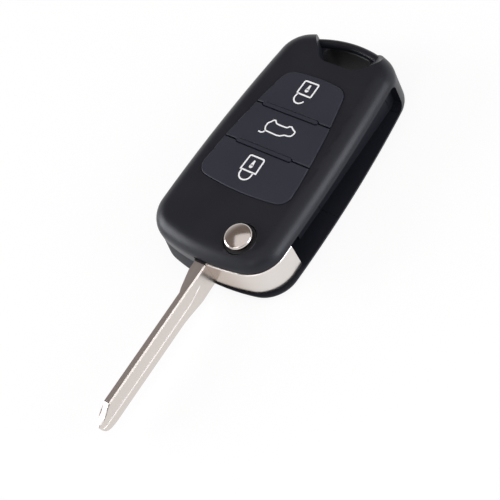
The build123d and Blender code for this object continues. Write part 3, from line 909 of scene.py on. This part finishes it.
@dataclass
class Pictogram:
    """White print on one key: strokes of one width, a hair above the pad.

    The pad's top, the line, the thickness and the shift are in metres, places in millimetres.
    """

    keyhole_slot: ClassVar[tuple[Point, ...]] = (
        (-0.52, 0.2), (0.52, 0.2), (0.28, 1.9), (-0.16, 1.9),
    )
    keyhole_radius: ClassVar[float] = 0.56
    keyhole_sides: ClassVar[int] = 20
    corner_steps: ClassVar[int] = 4
    arc_steps: ClassVar[int] = 14
    sunk_share: ClassVar[float] = 0.25

    body: str
    top: float
    line: float = 0.44 * MM
    thickness: float = 0.04 * MM
    shift: Point = (0.36 * MM, -0.16 * MM)

    def frame_of(
        self, bm: BMesh, corners: list[Point], rounding: float, soft: slice = slice(None),
    ) -> None:
        """Draws a closed outline stroke.

        Args:
            bm: mesh being drawn.
            corners: corners of the stroke's middle line, anticlockwise.
            rounding: corner rounding in millimetres.
            soft: corners that are rounded.
        """
        outer = grown(corners, self.line / 2 / MM)
        verts = [bm.verts.new((x * MM, y * MM, self.top)) for x, y in outer]
        bm.faces.new(verts)
        rounded = bmesh.ops.bevel(
            bm, geom=verts[soft], offset=rounding * MM, offset_type="OFFSET",
            segments=self.corner_steps, profile=0.5, affect="VERTICES", material=-1,
        )
        near = {other for vert in rounded["verts"] for other in vert.link_faces}
        face = max(near, key=lambda other: other.calc_area())
        bmesh.ops.inset_region(
            bm, faces=[face], thickness=self.line, use_boundary=True, use_even_offset=True,
        )
        bmesh.ops.delete(bm, geom=[face], context="FACES_ONLY")

    def arc(
        self, bm: BMesh, center: Point, radius: float, start: float, sweep: float,
    ) -> tuple[BMEdge, BMEdge]:
        """Draws an arc stroke by spinning an edge of the stroke's width.

        Args:
            bm: mesh being drawn.
            center: centre of the arc.
            radius: middle radius in millimetres.
            start: first angle in degrees.
            sweep: angle covered in degrees.

        Returns:
            The two end edges of the stroke.
        """
        middle = Vector((center[0] * MM, center[1] * MM, self.top))
        ray = Vector((math.cos(math.radians(start)), math.sin(math.radians(start)), 0.0))
        inner = bm.verts.new(middle + ray * (radius * MM - self.line / 2))
        outer = bm.verts.new(middle + ray * (radius * MM + self.line / 2))
        first = bm.edges.new((inner, outer))
        spun = bmesh.ops.spin(
            bm, geom=[first], cent=middle, axis=UPWARDS,
            angle=math.radians(sweep), steps=self.arc_steps,
        )
        last = next(part for part in spun["geom_last"] if isinstance(part, BMEdge))
        return first, last

    def straight(self, bm: BMesh, edge: BMEdge, run: Point) -> None:
        """Carries a stroke on in a straight line from one end edge.

        Args:
            bm: mesh being drawn.
            edge: end edge of the stroke.
            run: length of the run along X and Y, in millimetres.
        """
        drawn = bmesh.ops.extrude_edge_only(bm, edges=[edge])["geom"]
        verts = [part for part in drawn if isinstance(part, BMVert)]
        bmesh.ops.translate(bm, verts=verts, vec=(run[0] * MM, run[1] * MM, 0.0))

    def keyhole(self, bm: BMesh, center: Point) -> None:
        """Draws a keyhole: a dot on the shackle's side with a tapered slot away from it.

        Args:
            bm: mesh being drawn.
            center: middle of the dot.
        """
        x, y = center
        place = Matrix.Translation((x * MM, y * MM, self.top))
        bmesh.ops.create_circle(
            bm, cap_ends=True, radius=self.keyhole_radius * MM,
            segments=self.keyhole_sides, matrix=place,
        )
        corners = [((x + u) * MM, (y + v) * MM, self.top) for u, v in self.keyhole_slot]
        bm.faces.new([bm.verts.new(corner) for corner in corners])

    def finish(self, bm: BMesh, name: str, ink: bpy.types.Material) -> None:
        """Thickens the strokes and makes the print, which rides on its key.

        Args:
            bm: mesh with the flat strokes.
            name: name of the piece.
            ink: material of the print.
        """
        bmesh.ops.recalc_face_normals(bm, faces=bm.faces)
        for face in bm.faces:
            if face.normal.z < 0:
                face.normal_flip()
        drawn = bmesh.ops.extrude_face_region(bm, geom=list(bm.faces))["geom"]
        verts = [part for part in drawn if isinstance(part, BMVert)]
        bmesh.ops.translate(bm, verts=verts, vec=(0.0, 0.0, self.thickness))
        settle = (*self.shift, -self.thickness * self.sunk_share)
        bmesh.ops.translate(bm, verts=bm.verts, vec=settle)
        make_piece(bm, name, self.body, [ink])


@dataclass
class PadPrint:
    """The three pictograms of the button pad."""

    top: float
    ink: bpy.types.Material

    def unlock(self) -> None:
        """Padlock with its shackle swung open, at the ring end."""
        mark = Pictogram("unlock", self.top)
        bm = bmesh.new()
        corners = [(-3.25, 15.25), (1.32, 15.1), (1.32, 19.4), (-3.15, 19.4)]
        mark.frame_of(bm, corners, rounding=0.6)
        hinge, _ = mark.arc(bm, (-1.35, 14.0), radius=1.7, start=180.0, sweep=160.0)
        mark.straight(bm, hinge, (0.2, 1.25))
        mark.keyhole(bm, (-0.98, 16.7))
        mark.finish(bm, "unlock_print", self.ink)

    def lock(self) -> None:
        """Closed padlock, at the blade end."""
        mark = Pictogram("lock", self.top)
        bm = bmesh.new()
        corners = [(-3.7, -10.7), (1.3, -10.7), (1.15, -6.15), (-3.55, -6.15)]
        mark.frame_of(bm, corners, rounding=0.75, soft=slice(2, None))
        for end in mark.arc(bm, (-1.35, -11.6), radius=1.84, start=180.0, sweep=180.0):
            mark.straight(bm, end, (0.0, 0.8))
        mark.keyhole(bm, (-1.34, -9.15))
        mark.finish(bm, "lock_print", self.ink)

    def tailgate(self) -> None:
        """Side view of a car with its tailgate raised, on the middle key."""
        mark = Pictogram("tailgate", self.top, line=0.4 * MM)
        bm = bmesh.new()
        roof = [
            (3.7, 4.35), (2.6, 4.9), (1.9, 5.4), (1.25, 5.2), (0.9, 4.65),
            (-1.25, 4.62), (-2.65, 4.7),
        ]
        tail = [
            (-3.5, 5.5), (-4.05, 5.35), (-4.45, 4.7), (-5.05, 4.05), (-5.1, 2.9), (-4.45, 1.75),
        ]
        sill = [
            (-3.0, 1.7), (-0.6, 1.6), (0.45, 1.75), (1.5, 2.45), (2.6, 2.5),
            (3.4, 2.85), (3.75, 3.7),
        ]
        mark.frame_of(bm, roof + tail + sill, rounding=0.2)
        _, flap = mark.arc(bm, (-5.35, 1.75), radius=0.9, start=0.0, sweep=-90.0)
        mark.straight(bm, flap, (-0.8, 0.05))
        mark.finish(bm, "tailgate_print", self.ink)

    def build(self) -> None:
        """Prints all three keys."""
        self.unlock()
        self.tailgate()
        self.lock()


@dataclass(frozen=True)
class Lamp:
    """Soft square lamp. Its place, side and aim are in metres, its power in watts."""

    name: str
    place: Point3
    size: float
    power: float
    roll: float = 0.0
    tone: Color = WHITE
    aim: Point3 = (0.0, 0.0, 0.0)

    def hang(self) -> None:
        """Adds the lamp, facing its aim and rolled in degrees about its line of sight."""
        data = bpy.data.lights.new(self.name, "AREA")
        data.energy = self.power
        data.size = self.size
        data.color = self.tone
        sight = Vector(self.aim) - Vector(self.place)
        facing = sight.to_track_quat("-Z", "Y").to_matrix().to_4x4()
        roll = Matrix.Rotation(math.radians(self.roll), 4, "Z")
        put(self.name, data).matrix_world = Matrix.Translation(self.place) @ facing @ roll


@dataclass
class Studio:
    """Pale floor, soft light and the camera at the photograph's angle."""

    lamps: ClassVar[tuple[Lamp, ...]] = (
        Lamp(
            "overhead_box", (0.43, 0.01, 0.80), size=1.4, power=4.7, roll=36.0,
            aim=(0.43, 0.01, 0.0),
        ),
        Lamp("right_box", (0.68, 0.21, 0.20), size=0.45, power=3.3, tone=(0.92, 0.93, 1.0)),
        Lamp("left_box", (-0.70, -0.42, 0.26), size=0.5, power=5.6, tone=(0.93, 0.94, 1.0)),
        Lamp("front_box", (0.05, -0.70, 0.58), size=0.45, power=1.0),
    )

    camera_place: Point3 = (0.1935, -0.12119, 0.28029)
    forward: Point3 = (-0.54, 0.2737, -0.796)
    right: Point3 = (0.7649, 0.5541, -0.3284)
    lens: float = 97.2
    sensor: float = 36.0
    nearest: float = 0.01
    floor_size: float = 3.0
    floor_gap: float = 0.02 * MM
    paper: Color = (0.98, 0.98, 0.98)
    paper_glow: float = 0.88
    ceiling: Color = (0.20, 0.165, 0.145)
    horizon: float = 0.14
    ceiling_edge: float = 0.62

    def camera(self) -> None:
        """Sets the camera by its place, its line of sight and its right-hand side."""
        back = -Vector(self.forward).normalized()
        side = Vector(self.right)
        side = (side - back * side.dot(back)).normalized()
        turn = Matrix((side, back.cross(side), back)).transposed().to_4x4()
        data = bpy.data.cameras.new("studio_camera")
        data.lens = self.lens
        data.sensor_width = self.sensor
        data.clip_start = self.nearest
        eye = put("studio_camera", data)
        eye.matrix_world = Matrix.Translation(self.camera_place) @ turn
        bpy.context.scene.camera = eye

    def floor(self) -> None:
        """Lays the pale floor, which keeps the key's soft shadow."""
        bm = bmesh.new()
        bmesh.ops.create_grid(bm, x_segments=1, y_segments=1, size=self.floor_size)
        bmesh.ops.translate(bm, vec=(0.0, 0.0, -self.floor_gap), verts=bm.verts)
        mesh = bpy.data.meshes.new("studio_floor")
        bm.to_mesh(mesh)
        bm.free()
        mesh.materials.append(self.floor_paper())
        put("studio_floor", mesh)

    def floor_paper(self) -> bpy.types.Material:
        """Makes paper that mostly glows where the camera or a mirror sees it.

        Returns:
            The material.
        """
        material = bpy.data.materials.new("floor_paper")
        material.use_nodes = True
        graph = Graph(material.node_tree)
        graph.tree.nodes.remove(graph.tree.nodes["Principled BSDF"])
        paper = graph.add("BsdfDiffuse", {"Color": rgba(self.paper)})
        glow = graph.add("Emission")
        path = graph.add("LightPath")
        seen = graph.add("Math", operation="MAXIMUM")
        share = graph.add("Math", {1: self.paper_glow}, operation="MULTIPLY")
        mix = graph.add("MixShader")
        graph.join(
            (path.outputs["Is Camera Ray"], seen.inputs[0]),
            (path.outputs["Is Glossy Ray"], seen.inputs[1]),
            (seen.outputs["Value"], share.inputs[0]),
            (share.outputs["Value"], mix.inputs["Fac"]),
            (paper.outputs["BSDF"], mix.inputs[1]),
            (glow.outputs["Emission"], mix.inputs[2]),
            (mix.outputs["Shader"], graph.tree.nodes["Material Output"].inputs["Surface"]),
        )
        return material

    def world(self) -> None:
        """Makes the surroundings: white as seen, a dim ceiling over a white horizon as light."""
        world = bpy.data.worlds.new("studio_world")
        bpy.context.scene.world = world
        world.use_nodes = True
        graph = Graph(world.node_tree)
        room = graph.tree.nodes["Background"]
        sky = graph.add("TexCoord")
        height = graph.add("SeparateXYZ")
        rise = graph.add(
            "MapRange", {"From Min": self.horizon, "From Max": self.ceiling_edge},
            interpolation_type="SMOOTHSTEP",
        )
        tone = graph.add("Mix", {"A": rgba(WHITE), "B": rgba(self.ceiling)}, data_type="RGBA")
        bright = graph.add("Background", {"Color": rgba(WHITE), "Strength": 1.0})
        path = graph.add("LightPath")
        mix = graph.add("MixShader")
        graph.join(
            (sky.outputs["Generated"], height.inputs["Vector"]),
            (height.outputs["Z"], rise.inputs["Value"]),
            (rise.outputs["Result"], tone.inputs["Factor"]),
            (tone.outputs["Result"], room.inputs["Color"]),
            (path.outputs["Is Camera Ray"], mix.inputs["Fac"]),
            (room.outputs["Background"], mix.inputs[1]),
            (bright.outputs["Background"], mix.inputs[2]),
            (mix.outputs["Shader"], graph.tree.nodes["World Output"].inputs["Surface"]),
        )

    def build(self) -> None:
        """Sets up the whole studio."""
        self.camera()
        self.floor()
        self.world()
        for lamp in self.lamps:
            lamp.hang()
        bpy.context.scene.view_settings.view_transform = "Standard"
        log.info("studio set")


def main() -> None:
    """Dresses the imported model, makes the finer pieces and sets the studio."""
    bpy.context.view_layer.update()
    made = CadFinishes(frame["nodes"]).dress()
    low, high = (Vector(corner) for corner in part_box("flip_spring"))
    axis = (low + high) / 2
    Blade(axis).build({
        BladeFace.FLAT: made[NICKEL],
        BladeFace.SPINE: SPINE_SHADE_NICKEL.build(),
        BladeFace.GROUND: TIP_HIGHLIGHT_NICKEL.build(),
        BladeFace.STEP: STEP_HIGHLIGHT_NICKEL.build(),
    })
    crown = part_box("release_cap")[1][2]
    ReleaseCap(axis, crown).build(made[CHROME])
    ReturnSpring(low, high).build(made[ZINC])
    pad_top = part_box("unlock_key")[1][2]
    PadPrint(pad_top, PRINT_WHITE.build()).build()
    Studio().build()


if __name__ == "__main__":
    main()
